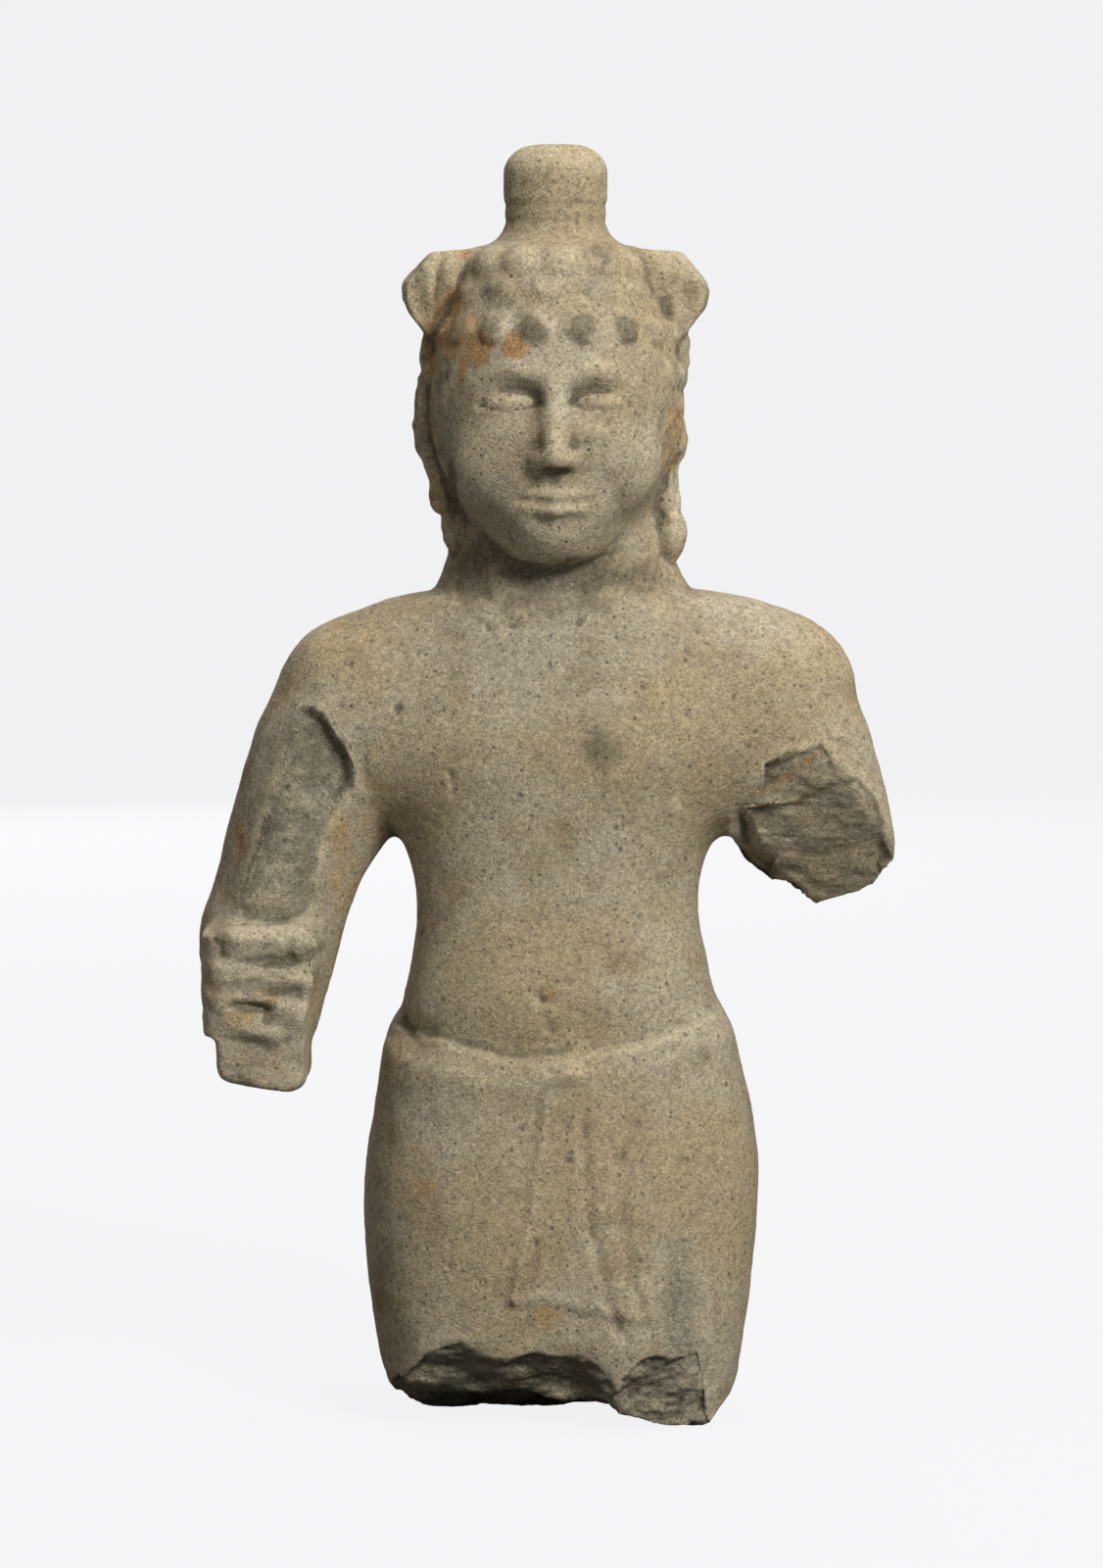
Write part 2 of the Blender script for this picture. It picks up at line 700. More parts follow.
# %% Shape the fist
FINGERS = (  # inner end, the bend, the end on the hand's outer side, and radius of each
    ((-102, -36.4, 186.8), (-122.5, -35.6, 187.6), (-126.4, -14, 187), 7.1),
    ((-97, -36.2, 174.8), (-123, -35.4, 175.8), (-126.4, -14, 175.4), 7.1),
    ((-99, -36.1, 163), (-122.5, -35.4, 164.6), (-126.2, -14, 165.4), 7),
    ((-106, -36.8, 152.6), (-120, -35.4, 156.6), (-123.6, -14, 158.4), 6.2),
)
KNUCKLES = (
    ((-94, -37.2, 186.6), 7),
    ((-92.6, -36.8, 173), 5.6),
    ((-96.5, -37, 161.6), 6),
)
PALM = {"height": (140, 150, 158), "front": (-39.1, -39.8, -41), "side": -132.8}
FIST_STROKES = (
    (((-124, 186.4), (-112, 185.6), (-104, 185.4)), 2.8, -0.8),  # the worn first finger
    (((-125.5, 188), (-124.4, 183)), 2, -1),
    (((-120, 163.8), (-114, 163.4), (-108.5, 162)), 2.1, -2.6),  # the slot
    (((-122, 137), (-112, 129), (-104, 127)), 2, -0.7),  # a dent in the stub
)


def fist_form(p):
    front = np.interp(p[:, 2], PALM["height"], PALM["front"]) - p[:, 1]
    palm = cut(front, p[:, 0] - PALM["side"], 12)
    fingers = []
    for inner, bend, outer, radius in FINGERS:
        fingers += [limb(p, inner, bend, radius), limb(p, bend, outer, radius)]
    knuckles = [length(p - place) - radius for place, radius in KNUCKLES]
    worn = 0.9 * noise(p, (11, 9, 6), 3, 5.1)
    return join(palm, np.min(fingers + knuckles, axis=0), 1.4) - worn


hand = np.flatnonzero(part_of(points, (-137, -60, 140), (-86, -6, 196)))
x, y, z = points[hand].T
outer = ease(-121, -126, x)
share = facing(points[hand], normals[hand]) * (1 - outer)
share += outer * ease(0.75, 0.3, normals[hand, 1]) * ease(-8, -20, y) * ease(149, 154, z)
share *= 1 - outer * ease(186, 193, z)
share *= ease(140, 144, z) * ease(196, 193, z) * ease(-87, -90, x)
share *= ease(4.5 + 4 * outer, 3 + 4 * outer, np.abs(fist_form(points[hand])))
points[hand] = pull(points[hand], fist_form, share)
normals = normals_of(stone, points)
points = carved(points, normals, FIST_STROKES)
print("pulled", len(hand), "points onto", len(FINGERS), "fingers")

# %% [markdown]
# The breaks
#
# Stone breaks in three places here: along the arm, where the shaft that the fist held
# came away, across the other arm, and across the legs. Each break is drawn as an
# outline on the front, or as the line where the carved skin ends, and noise makes the
# line wander. Points inside an outline are found by counting how often it is crossed.

# %% Draw the breaks
CHIPS = (  # centre and radius of the hollows struck out of the lower front edge
    ((-36.3, -77.1, 4), 38.5),
    ((2.7, -77.1, 5), 35.5),
    ((45.7, -75.1, 9), 30),
)
LOWER_EDGE = (  # where the carved skin ends in front, as (x, z)
    (-62, 10), (-57, 18), (-46, 31), (-33, 35.5), (-24, 30), (-16, 27), (-8, 31), (2, 32),
    (11, 29), (17, 21), (23, 14), (31, 19), (39, 25), (49, 28.5), (57, 31), (60, 12), (62, 2),
)
SCAR = (  # the outline of the long scar on the arm
    (-99, 274.5), (-95, 277), (-91, 277.3), (-84, 272), (-78, 263), (-74.4, 254), (-74.6, 246),
    (-79, 239), (-84, 233), (-85.2, 227.5), (-88, 221), (-89, 213.5), (-89.3, 203.5),
    (-93, 197), (-99.3, 194.5), (-109, 194), (-117.5, 195.5), (-120.8, 200.4), (-117.2, 207.5),
    (-114, 214.6), (-111, 224), (-109, 234), (-107, 242), (-101, 247.5), (-100.5, 258),
    (-101, 267),
)
STUMP = (  # the whole break: it goes on past the outline of the arm at its foot
    (77, 239), (82, 246), (83.5, 254), (95, 259.5), (105.7, 262.5), (110, 255), (118.5, 249),
    (124.8, 241.5), (129, 231.5), (130, 222), (133, 217), (139, 214), (132, 186), (98, 186),
    (88, 200), (85.4, 213.6), (82.1, 223),
)
STUMP_LEDGE = (  # the step between the stump's upper and lower faces
    (76, 237.5), (88, 239), (98, 239.5), (108, 246.6), (118, 248.5), (124, 249),
)
STUMP_FOOT = (  # the lower outline of the stump as it is seen from a little above
    (78, 211.5), (87, 208), (92, 207.5), (96, 206), (99, 203.5), (105.2, 197.7), (109, 199.5),
    (120.8, 203.2), (127.4, 207), (129.5, 210.5), (136, 216.5),
)
STUMP_SIDE = (  # the edge of the stump's face towards the trunk, as (z, x)
    (186, 106), (199, 104), (204, 98), (211, 90), (222, 83), (231, 80.4), (238, 77),
)

print("the scar is", max(z for _, z in SCAR) - min(z for _, z in SCAR), "mm long")

# %% [markdown]
# The scar along the arm
#
# The plain solid is hollowed too far beside this scar. A smooth surface is fitted by
# least squares to the good skin in a ring round it, and the skin inside the ring comes
# forward to that. The seam above the fist is smoothed, and then the scar is sunk, by
# about a millimetre near the hand and by more towards the shoulder.

# %% Cut the scar
normals = normals_of(stone, points)
in_front = part_of(points, (-124, -33, 194.4), (-58, 0, 292)) & (normals[:, 1] < -0.2)
forearm = np.flatnonzero(in_front)
x, y, z = points[forearm].T
off = within(points[forearm], SCAR)
reach = 5 + 5 * ease(238, 252, z)
terms = np.stack([x**i * z**j for i in range(4) for j in range(4 - i)], axis=1)
terms /= np.abs(terms).max(axis=0)
ring = (off > reach) & (off < reach + 9) & (z > 197)
skin = terms @ np.linalg.lstsq(terms[ring], y[ring], rcond=None)[0]
fade = ease(reach + 6, reach - 2, off)
points[forearm, 1] += np.minimum(skin - y, 0) * fade * ease(194.4, 196.4, z)
print("the arm's skin was", round(float((y - skin)[off < 0].max()), 1), "mm too deep")

seam = part_of(points, (-137, -46, 190), (-88, -16, 200.5))
points = smoothed(points, edges, 40, seam)
normals = normals_of(stone, points)
inside = np.where(part_of(points, (-128, -60, 190), (-60, 0, 284)), within(points, SCAR, 1.2), 99)
inside[normals[:, 1] > 0] = 99
upper = ease(232, 250, points[:, 2])
right = ease(-100, -84, points[:, 0])
deep = 0.8 + upper * 3.6 * right + 0.8 * (1 - upper) * (1 - right)
points[:, 1] += deep * ease(0.6, -1.8 - 3 * upper * right, inside)
broken = 0.9 * ease(0.8, -0.6, inside)
print("the scar is up to", round(float(deep[inside < 0].max()), 1), "mm deep")

# %% [markdown]
# The stump of the other arm
#
# The stump broke on two faces, a narrow steep one on top and a long one under a ledge.
# A chisel takes the skin back to them, but only inside the outline, so that the arm's
# own skin stays. The side towards the trunk is then bent back and the lower edge is
# lifted to its outline. From here on each point keeps its share of broken stone.

# %% Cut the stump
def stump_tool(p):
    """The stump's break has a narrow steep face on top, and a long one under a ledge."""
    over = plane(p, (106, -27.6, 261), (0.1, -2.6, -1))
    ledge = np.interp(p[:, 0], *np.transpose(STUMP_LEDGE))
    steep = plane(p, (105.7, -0.1, 213), (0, -1.5, -1)) - 2 * ease(-0.7, 0.7, p[:, 2] - ledge)
    return -np.maximum(steep, over)


arm = np.flatnonzero(part_of(points, (68, -60, 184), (150, 60, 266)))
inside = within(points[arm], STUMP, 0.8)
near = arm[inside < 1]
points[near] = chisel(points[near], stump_tool)
normals = normals_of(stone, points)
broken[arm] = 0.42 * ease(0.4, -0.4, inside) * ease(0.35, 0.05, normals[arm, 1])
points[arm, 1] += 1.1 * ease(0.2, -1.2, inside) * ease(0.2, -0.2, normals[arm, 1])
beyond = np.interp(points[arm, 2], *np.transpose(STUMP_SIDE)) - points[arm, 0]
back = 1.5 * np.clip(beyond, 0, 4.5) * ease(242, 233, points[arm, 2])
back *= ease(70, 77, points[arm, 0])
points[arm, 1] += back * ease(0.2, -0.2, normals[arm, 1])
x, y, z = points[arm].T
lowest = np.interp(x, *np.transpose(STUMP_FOOT)) - y * math.tan(tilt)
points[arm, 2] += np.maximum(lowest - z, 0) * ease(80, 86, x)
print("the stump's break has", len(near), "points")

# %% [markdown]
# The break across the legs
#
# In front the carved skin ends on an uneven line, and under it the stone is struck
# back by three round chips. The whole underside is broken too, apart from the lowest
# places at the sides.

# %% Mark the break across the legs
def on_front_edge(p, n):
    """1 on the front of the figure under the line where the carved skin ends."""
    x = p[:, 0] + 0.8 * noise(p, 5, 2)
    edge = np.interp(x, *np.transpose(LOWER_EDGE), left=-9, right=-9)
    return ease(0.5, -0.9, p[:, 2] - edge) * ease(0.2, -0.1, n[:, 1])


normals = normals_of(stone, points)
edge = on_front_edge(points, normals)
points[:, 1] += 1.8 * edge
chips = np.max([ease(1.2, 0.3, length(points - c) - r) for c, r in CHIPS], axis=0)
under = ease(-0.25, -0.6, normals[:, 2]) * ease(34, 22, points[:, 2])
under *= 1 - ease(54, 60, np.abs(points[:, 0])) * ease(2, 6, points[:, 2])
foot = np.max([edge, chips * ease(33, 26, points[:, 2]), under], axis=0)
broken = np.maximum(broken, foot)
print("broken stone covers", round(100 * float((broken > 0.3).mean())), "% of the skin")

# %% [markdown]
# Broken stone
#
# A broken face is rough and layered where a carved one is smooth. Four kinds of noise
# make it so: flat layers, sharp ridges, flakes, and steps where a layer ended. They
# move only the broken points, and less on the outer flanks, to keep the outline.

# %% Roughen the breaks
layers = noise(points, (11, 7, 2.6), 3, 3.1) + 0.8 * noise(points, (5, 5, 3), 2)
ridges = 1 - 2 * np.abs(noise(points, (16, 9, 6), 2, 5.7))
flakes = np.abs(noise(points, (8, 6, 4), 2, 12.1))
steps = noise(points, (13, 11, 8), 1, 8.8) * 3
steps = 0.7 * (np.floor(steps) + ease(0.35, 0.65, steps - np.floor(steps)))
low = ease(62, 48, points[:, 2])
rough = np.where(points[:, 0] < -60, 0.45, 1.1) * (1 - low) + 1.3 * low
lift = rough * (0.5 * layers + 0.4 * ridges + 0.9 * flakes - 0.4)
lift += np.where(points[:, 0] > 60, 0.8, low) * steps
lift = np.minimum(lift, 2.5 - 2.2 * ease(0.35, 0.7, np.abs(normals[:, 0])))
share = np.minimum(broken * 1.6, 1)
points = points + (share * lift)[:, None] * normals
print("roughened", int((broken > 0.3).sum()), "points of broken stone")

# %% [markdown]
# Weather
#
# Old sandstone isn't smooth anywhere. Long low waves are left from the carving, and
# small lumps come from the grain. The head was finished better, so it has less of
# both, and the breaks have their own roughness.

# %% Add waves and grain
normals = normals_of(stone, points)
waves = 0.6 * noise(points, 34, 2, 1.7) + 0.36 * noise(points, 9, 2, 9.1)
grain = 0.17 * noise(points, 2.6, 2, 4.4)
calm = 1 - 0.6 * ease(318, 345, points[:, 2])
points = points + ((waves * calm + grain) * (1 - 0.5 * broken))[:, None] * normals
print("the waves reach", round(float(np.abs(waves).max()), 2), "mm")

# %% [markdown]
# Pits
#
# Soft spots fall out of the stone and leave pits. The larger ones are put where the
# stone shows them and the rest at random, though not on the face. Each one pushes the
# skin in round a point, which a tree of nearest points finds quickly. Last, nothing
# may reach under the ground, where the lowest places of the break are worn flat.

# %% Press the pits
PITS = (  # place seen from the front, and radius
    (-22.7, 307.5, 2.4), (57, 306, 2), (11.8, 309.5, 1.8), (-57, 277, 2.2), (-25.6, 277, 1.5),
    (36, 285, 1.6), (53, 275, 1.8), (53, 298.5, 1.5), (20.7, 259, 1.2), (2, 253, 1.3),
    (-21, 249, 1.3), (71, 281, 1.5), (31, 233, 1.4), (50, 190, 1.2), (8, 106, 1.8),
    (-4.7, 73.5, 1.8), (-38, 65, 1.4), (-14, 50, 1.7), (16, 40, 1.5), (54, 32, 2.2),
    (63.5, 17.5, 1.4),
)
SMALL_PITS = 240
FACE_FOOT = 320  # no small pits in front above this height

nearby = kdtree.KDTree(len(points))
for i, place in enumerate(points):
    nearby.insert(place, i)
nearby.balance()
draws = np.random.default_rng(5)
pits = []
for x, z, radius in PITS:
    column = np.hypot(points[:, 0] - x, points[:, 2] - z) + 99 * (normals[:, 1] > -0.2)
    pits.append((int(column.argmin()), radius))
for i in draws.integers(0, len(points), SMALL_PITS):
    if points[i, 2] < FACE_FOOT or points[i, 1] > 0:
        pits.append((int(i), draws.uniform(0.6, 1.1)))
for i, radius in pits:
    for _, j, away in nearby.find_range(points[i], 2 * radius):
        points[j] = points[j] - 0.6 * radius * math.exp(-((away / radius) ** 2)) * normals[i]
points[:, 2] = np.maximum(points[:, 2], 0)
normals = normals_of(stone, points)
print("pressed", len(pits), "pits")

# %% [markdown]
# Where the colours go
#
# Stains follow the stone's own history: rust beside a band of iron, ochre in sheltered
# places, dark growth in the hollows, a grey-green heart wherever it broke, and pale
# places where it was rubbed. They are listed as oval marks and as lines on the front,
# because a short table is easier to change than a painted picture.

# %% List the stains
RUST = (  # place seen from the front, half width, half height, strength
    (-38, 419, 10, 8, 0.7), (-28, 411, 9, 5, 0.75), (-36.6, 429, 3, 6, 1),
    (-41, 423, 5, 9, 0.8), (-47, 419, 3, 6, 0.9), (-25, 416, 7, 5, 1), (-13.5, 414, 5, 4, 1),
    (-32.5, 407, 2.5, 11, 0.7), (-36, 414, 6, 7, 0.55), (-32, 450, 2.5, 2, 1),
    (-30, 417, 11, 8, 0.6), (-44.5, 410, 4, 9, 0.6), (-48, 104, 6, 5, 0.35),
    (-46, 93, 5, 6, 0.4), (0, 168, 3, 6, 0.3), (-118, 223, 3, 7, 0.6),
)
OCHRE = (
    (-45, 389, 4, 12, 0.6), (-43, 359, 5, 10, 0.8), (50, 384, 5, 9, 0.8), (47, 371, 4, 6, 0.7),
    (-83, 303, 18, 8, 0.4), (-66, 244, 7, 22, 0.4), (-79, 215, 6, 26, 0.5),
    (0, 46, 6, 4.5, 0.9), (5, 50, 4, 3, 0.5), (-108, 167, 8, 4, 0.6), (-118, 158, 9, 4, 0.6),
    (-110, 140, 12, 8, 0.3), (66, 250, 10, 12, 0.2),
)
DARK = (
    (3, 136, 10, 4, 0.35), (6, 327, 30, 7, 1), (4, 319, 24, 9, 0.5), (-28, 328, 9, 14, 0.7),
    (36, 326, 9, 10, 0.5), (-37, 360, 2.5, 13, 0.8), (-88, 268, 5, 4, 0.7),
    (-80, 260, 4, 6, 0.9), (-93, 258, 12, 18, 0.5), (-98, 222, 13, 30, 0.36),
    (-122, 186, 5, 5, 0.5), (-114, 151, 11, 2, 0.6), (20.7, 261.5, 9, 8, 0.6),
    (13.5, 422, 5, 5, 0.6), (30.6, 420, 5, 5, 0.6), (-6.5, 421, 6, 5, 0.5),
    (-20, 433, 7, 5, 0.5), (48, 213, 7, 6, 0.4), (-124.5, 189, 4, 4, 0.8),
    (-112, 163, 7, 2.4, 1), (-89, 184, 3, 3, 0.6), (-50, 151.5, 6, 3, 0.5),
)
GREEN = (
    (50.5, 72, 6, 9, 0.62), (50.5, 54, 7.5, 15, 0.92), (52, 31, 8, 12, 0.95),
    (-92, 188, 6, 6, 0.5),
)
PALE = ((48.5, 349, 2, 5, 1), (49, 240, 2.4, 3, 1), (-37.2, 247, 1.2, 4, 0.6))
RUST_LINES = (
    ((82, 243.5), (93, 250.5), (105, 260)),
    ((79, 238), (88, 239), (97, 240)),
)
DARK_LINES = (
    ((97, 240), (108, 246.6), (119, 248.5)),
    ((83, 253), (95, 258), (105, 262.5)),
    ((107.5, 255), (111, 247.5)),
    ((119, 248), (125, 241.5), (129, 231.5), (130, 222)),
    ((-107.5, 234), (-110.5, 224), (-114.5, 215), (-117, 205)),
)
PALE_LINES = (((-84, 232), (-87.5, 221.6), (-89.7, 211), (-91, 200)),)

print("listed", len(RUST + OCHRE + DARK + GREEN + PALE), "marks")

# %% [markdown]
# Painting
#
# Each stain is painted on the skin's points as a number from 0 to 1 with a name, so
# that the finish can read it. Noise makes the marks ragged. Dark growth also settles
# on some curls and in every hollow, and what stands proud is rubbed pale. Hollows are
# found by comparing the skin with a smoothed copy of itself.

# %% Paint the stains
def spots(marks, ragged):
    """How strongly each point is stained by a list of marks on the front."""
    total = np.zeros(len(points))
    wander = 1 + ragged * noise(points, 6, 3, 2.2)
    for x, z, half, high, strength in marks:
        far = np.hypot((points[:, 0] - x) / half, (points[:, 2] - z) / high) * wander
        total = np.maximum(total, strength * ease(1.5, 0.4, far))
    return total * ease(0.45, 0.1, normals[:, 1])


def lines(marks, width):
    """Uneven stains along lines on the front."""
    far = np.min([line_distance(points, line) for line in marks], axis=0)
    strength = np.clip(0.7 + 0.9 * noise(points, 5, 2, 4.9), 0, 1)
    return strength * bell(far, width) * ease(0.3, -0.1, normals[:, 1])


def paint(name, values):
    """Keeps a number from 0 to 1 for each point, under a name."""
    layer = stone.data.attributes.new(name, "FLOAT", "POINT")
    layer.data.foreach_set("value", np.clip(values, 0, 1))


def on_curls(p):
    """Dark growth that settled on the curls, on some of them more than on others."""
    draws = np.random.default_rng(8)
    total = np.zeros(len(p))
    for place, _ in curl_places():
        far = length(p - place) * (1 + 0.5 * noise(p, 4, 3, 3.3))
        total = np.maximum(total, draws.uniform(0.2, 0.65) * ease(8.5, 2.5, far))
    return total


sunk = ((smoothed(points, edges, 24) - points) * normals).sum(axis=1)

paint("broken", np.maximum(broken, spots(GREEN, 0.5)))
paint("rust", np.maximum(spots(RUST, 0.9), lines(RUST_LINES, 1)))
paint("ochre", spots(OCHRE, 0.4))
below = broken * ease(36, 30, points[:, 2])
below = below * (0.1 + 0.2 * ease(40, 30, points[:, 0]) + 0.35 * ease(0.1, -0.6, normals[:, 2]))
below = below + 0.9 * lines(DARK_LINES, 1.2)
paint("dark", spots(DARK, 0.5) + 0.8 * ease(0.15, 0.9, sunk) + on_curls(points) + below)
proud = 0.5 * ease(0.1, 0.6, -sunk)
paint("pale", spots(PALE, 0.2) + 0.5 * lines(PALE_LINES, 2) + proud)
print("painted", [layer.name for layer in stone.data.attributes if layer.domain == "POINT"])

# %% [markdown]
# Thinning the skin
#
# The even skin has more faces than a shared part should have. A collapse decimate
# thins it where it is flat and keeps the faces where it is carved, and the painted
# numbers go along with the points that stay.

# %% Thin the skin
MOST_FACES = 196000

triangles = sum(len(face.vertices) - 2 for face in stone.data.polygons)
modify(stone, "DECIMATE", decimate_type="COLLAPSE", ratio=min(1, MOST_FACES / triangles))
only(stone)
bpy.ops.object.shade_smooth()
print("the carved stone has", len(stone.data.polygons), "faces")

# %% [markdown]
# Writing a finish
#
# A finish is a network of nodes, and its maths is easier to read as sums. The class
# below wraps one socket, so that adding or multiplying two of them adds the Math node
# that does it. Any other node is made by one method that takes its type, its settings
# and what goes into it.

# %% Wrap a socket
class Socket:
    """One output of a node, which can be reckoned with."""

    def __init__(self, tree, output):
        self.tree = tree
        self.output = output

    def node(self, kind, settings=None, out=0, **inputs):
        """Adds a node. An input is given by its name, or by i and its number."""
        made = self.tree.nodes.new("ShaderNode" + kind)
        for name, value in (settings or {}).items():
            setattr(made, name, value)
        for name, value in inputs.items():
            port = made.inputs[int(name[1:]) if name[1:].isdigit() else name]
            if isinstance(value, Socket):
                self.tree.links.new(value.output, port)
            else:
                port.default_value = value
        return Socket(self.tree, made.outputs[out])

    def maths(self, operation, a, b):
        return self.node("Math", {"operation": operation}, i0=a, i1=b)

    def __add__(self, other):
        return self.maths("ADD", self, other)

    def __sub__(self, other):
        return self.maths("SUBTRACT", self, other)

    def __rsub__(self, other):
        return self.maths("SUBTRACT", other, self)

    def __mul__(self, other):
        return self.maths("MULTIPLY", self, other)

    __radd__ = __add__
    __rmul__ = __mul__

    def between(self, low, high):
        """0 below the low value, 1 above the high one, and a soft ramp between."""
        settings = {"interpolation_type": "SMOOTHSTEP"}
        if low > high:
            return 1 - self.between(high, low)
        return self.node("MapRange", settings, i0=self, i1=low, i2=high)

    def tint(self, under, over):
        """Goes from one colour to another by this socket's value."""
        return self.node("Mix", {"data_type": "RGBA"}, 2, i0=self, i6=under, i7=over)

    def shaded(self, value):
        """A colour made lighter or darker by a number."""
        settings = {"data_type": "RGBA", "blend_type": "MULTIPLY"}
        return self.node("Mix", settings, 2, i0=1.0, i6=self, i7=value)


print("a socket answers to", [name for name in vars(Socket) if name[:2] != "__"])

# %% [markdown]
# Patterns of the sandstone
#
# Seen close, sandstone is sand: each grain has its own shade, a few are black and a
# few are almost white. A Voronoi pattern with cells a little under a millimetre gives
# the grains, finer noise breaks them up, and broad noise is there for the slow drift
# from warm tan to grey. All patterns read the object's own coordinates, so they run
# through the block as the real grain does.

# %% Make the patterns
TAN = (0.35, 0.277, 0.166, 1)
DUST = (0.385, 0.33, 0.232, 1)
BROWN = (0.25, 0.184, 0.105, 1)
HEART = (0.275, 0.245, 0.172, 1)
RUST_COLOUR = (0.35, 0.175, 0.05, 1)
OCHRE_COLOUR = (0.42, 0.27, 0.11, 1)
GROWTH = (0.105, 0.088, 0.056, 1)
CREAM = (0.62, 0.52, 0.34, 1)
BLACK_GRAIN = (0.06, 0.05, 0.036, 1)
WHITE_GRAIN = (0.62, 0.55, 0.42, 1)
GRAIN = 0.0009  # metres across one grain

finish = bpy.data.materials.new("weathered_sandstone")
finish.use_nodes = True
tree = finish.node_tree
shader = next(n for n in tree.nodes if n.type == "BSDF_PRINCIPLED")
stuff = Socket(tree, None)
own_place = stuff.node("TexCoord", out="Object")


def noise_node(scale, detail, roughness=0.55, move=0.0):
    """Noise from 0 to 1, with this many lumps to the metre."""
    at = stuff.node("Mapping", Vector=own_place, Location=(move, move, move))
    sizes = {"Scale": scale, "Detail": detail, "Roughness": roughness}
    return stuff.node("TexNoise", None, "Fac", Vector=at, **sizes)


def grains(size, move=0.0):
    """Cells of a size in metres: a random shade for each and the depth inside it."""
    at = stuff.node("Mapping", Vector=own_place, Location=(move, move, move))
    shade = stuff.node("TexVoronoi", None, "Color", Vector=at, Scale=1 / size)
    depth = stuff.node("TexVoronoi", None, "Distance", Vector=at, Scale=1 / size)
    return stuff.node("SeparateColor", None, 0, Color=shade), depth


def painted(name):
    """A stain that was painted on the points."""
    return stuff.node("Attribute", {"attribute_name": name}, "Fac")


def speckle(size, share, radius, move):
    """Round grains in some of the cells, as a number from 0 to 1."""
    shade, depth = grains(size, move)
    return shade.between(share + 0.01, share) * depth.between(radius * 1.3, radius * 0.6)


drift = noise_node(16, 3)
cloud = noise_node(52, 4, move=3.0)
blotch = noise_node(130, 3, move=7.0)
sand = noise_node(1100, 3, 0.7, move=2.0)
mottle = noise_node(400, 3, 0.65, move=5.0)
flecks = noise_node(560, 2, 0.6, move=1.7)
shade, depth = grains(GRAIN)
print("the patterns have", len(tree.nodes), "nodes")

# %% [markdown]
# Colour of the sandstone
#
# The colour is laid on like glazes: the drift from tan to dust, brown clouds, then one
# painted stain after another, each frayed by the grain at its edge. The grains' shades
# then make it lighter and darker, and single black and white grains come last. Their
# contrast is in the colour and not only in the bumps, as it is in real sand.

# %% Lay on the colours
def frayed(name):
    """A painted stain with its edge broken up by the grain and by small clouds."""
    return (painted(name) + 0.6 * sand + 0.9 * blotch - 0.75).between(0.12, 0.8)


colour = drift.between(0.4, 0.62).tint(TAN, DUST)
colour = (cloud.between(0.5, 0.74) * 0.75).tint(colour, BROWN)
colour = (frayed("broken") * 0.95).tint(colour, HEART)
colour = (frayed("ochre") * 0.7).tint(colour, OCHRE_COLOUR)
colour = (frayed("rust") * 0.75).tint(colour, RUST_COLOUR)
colour = (painted("pale") * 0.6).tint(colour, CREAM)
colour = (frayed("dark") * 0.75).tint(colour, GROWTH)

crevices = noise_node(430, 4, 0.75, move=6.0).between(0.48, 0.36) * painted("broken")
colour = (crevices * 0.35).tint(colour, GROWTH)

even = 0.42 * shade + 1.4 * sand + 0.9 * mottle - 0.37
colour = colour.shaded(even)
specks = 0.8 * speckle(0.0085, 0.32, 0.13, 1.3) + 0.8 * speckle(0.0036, 0.38, 0.2, 0.4)
specks = (specks + 0.7 * flecks.between(0.64, 0.74)) * sand.between(0.3, 0.5)
glints = 0.4 * speckle(0.0022, 0.12, 0.24, 3.7) + 0.3 * flecks.between(0.34, 0.26)
colour = glints.tint(colour, WHITE_GRAIN)
colour = (specks * 0.8).tint(colour, BLACK_GRAIN)
tree.links.new(colour.output, shader.inputs["Base Color"])
print("the colours have", len(tree.nodes), "nodes so far")

# %% [markdown]
# Feel of the sandstone
#
# Stone like this is matt all over, a little less so where it was rubbed. Bumps give
# the grains their edges in a low light, and they are stronger on the breaks.

# %% Make it matt and grainy
rough = 0.86 + 0.1 * shade - 0.1 * painted("pale")
tree.links.new(rough.output, shader.inputs["Roughness"])
shader.inputs["Specular IOR Level"].default_value = 0.25

height = sand * 1.1 - depth * 0.2 - specks * 0.4
height = height + painted("broken") * (noise_node(300, 5, 0.7) * 2 - crevices * 0.5)
bumped = stuff.node("Bump", Height=height, Strength=0.65, Distance=0.0009)
tree.links.new(bumped.output, shader.inputs["Normal"])
stone.data.materials.clear()
stone.data.materials.append(finish)
print("the finish has", len(tree.nodes), "nodes")

# %% [markdown]
# Fixing the stone to the frame
#
# The whole figure is one piece. It moves with the only body there is, and it stands
# for the plain solid that it was made from.

# %% Fix the stone to the frame
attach(stone, "root")
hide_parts("stone_figure")
print("the carved stone stands for the plain solid")

# %% [markdown]
# The paper
#
# A stone photographed for a catalogue stands on pale paper that curves up behind it.
# A round floor does the same for a camera on any side, once its rim is extruded step
# by step into a bowl. The paper glows a little for the camera alone, so that it stays
# pale without throwing light back at the stone.

# %% Shape the paper
BOWL = {"radius": 3.4, "sweep": 1.6, "steps": 96, "arcs": 10}

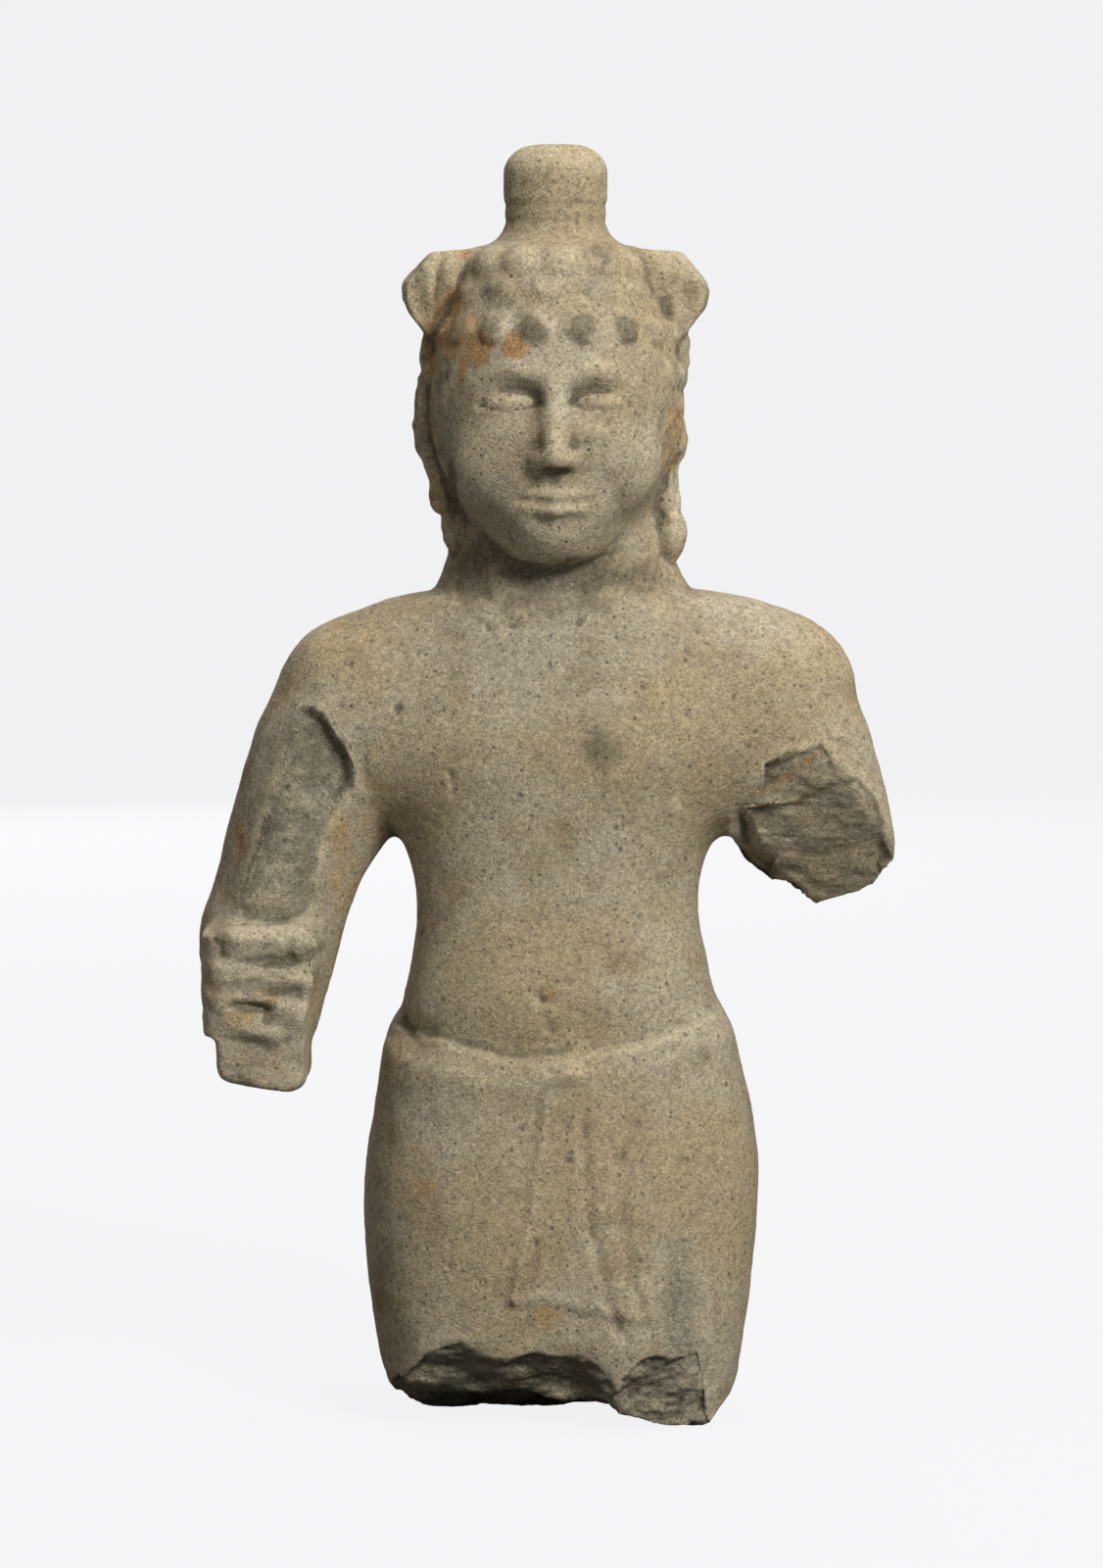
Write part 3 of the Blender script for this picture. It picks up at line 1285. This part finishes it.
bpy.ops.object.select_all(action="DESELECT")
bpy.ops.mesh.primitive_circle_add(
    vertices=BOWL["steps"], radius=BOWL["radius"], fill_type="NGON", location=(0, 0, 0)
)
floor = bpy.context.object
floor.name = "studio_floor"
bpy.ops.object.mode_set(mode="EDIT")
bpy.ops.mesh.select_all(action="SELECT")
bpy.ops.mesh.select_mode(type="EDGE")
bpy.ops.mesh.region_to_loop()
for step in range(BOWL["arcs"]):
    low, high = (math.radians(90 * (step + i) / BOWL["arcs"]) for i in (0, 1))
    rise = BOWL["sweep"] * (math.cos(low) - math.cos(high))
    before, after = (BOWL["radius"] + BOWL["sweep"] * math.sin(a) for a in (low, high))
    bpy.ops.mesh.extrude_edges_move(TRANSFORM_OT_translate={"value": (0, 0, rise)})
    share = after / before
    bpy.ops.transform.resize(value=(share, share, 1), center_override=(0, 0, 0))
bpy.ops.mesh.select_all(action="SELECT")
bpy.ops.mesh.normals_make_consistent(inside=True)
bpy.ops.object.mode_set(mode="OBJECT")
bpy.ops.object.shade_smooth()

paper = bpy.data.materials.new("studio_paper")
paper.use_nodes = True
sheet = Socket(paper.node_tree, None)
bright = sheet.node("Emission", Color=(0.985, 0.985, 1, 1), Strength=0.885)
matt = sheet.node("BsdfDiffuse", Color=(0.04, 0.04, 0.04, 1))
seen = sheet.node("AddShader", i0=bright, i1=matt)
unseen = sheet.node("BsdfDiffuse", Color=(0.15, 0.15, 0.15, 1))
looked_at = sheet.node("LightPath", out="Is Camera Ray")
both = sheet.node("MixShader", i0=looked_at, i1=unseen, i2=seen)
output = next(n for n in paper.node_tree.nodes if n.type == "OUTPUT_MATERIAL")
paper.node_tree.links.new(both.output, output.inputs["Surface"])
floor.data.materials.append(paper)
print("the paper is", 2 * (BOWL["radius"] + BOWL["sweep"]), "m across")

# %% [markdown]
# The lights
#
# A large soft light on the viewer's right models the forms, a weaker one on the left
# keeps the shadows open, one from above lifts the shoulders, and one behind serves
# whoever walks round. The standard view keeps the colours as they are.

# %% Set the lights
AIR = {"colour": (1, 0.96, 0.9, 1), "strength": 0.15}
AIM = Vector((0, 0, 0.25))
LIGHTS = (  # name, place, size, power in watts
    ("key", (1.3, -1.8, 1.72), 0.9, 76),
    ("fill", (-2.0, -1.6, 0.7), 1.6, 6),
    ("top", (0.2, 0.1, 2.3), 1.2, 22),
    ("back", (-0.4, 2.4, 0.9), 1.4, 30),
)
for name, where, size, power in LIGHTS:
    towards = AIM - Vector(where)
    bpy.ops.object.light_add(type="AREA", location=where)
    light = bpy.context.object
    light.name = "light_" + name
    light.rotation_mode = "QUATERNION"
    light.rotation_quaternion = towards.to_track_quat("-Z", "Y")
    light.data.shape = "DISK"
    light.data.size = size
    light.data.energy = power

world = bpy.data.worlds.new("studio_air")
bpy.context.scene.world = world
world.use_nodes = True
background = world.node_tree.nodes["Background"]
background.inputs["Color"].default_value = AIR["colour"]
background.inputs["Strength"].default_value = AIR["strength"]
bpy.context.scene.view_settings.view_transform = "Standard"
print("the studio has", len(LIGHTS), "lights")

# %% [markdown]
# Sizes
#
# The carving may not change how big the figure is. Both boxes are written down, the
# plain solid's and the finished stone's, so that they can be compared after each run.
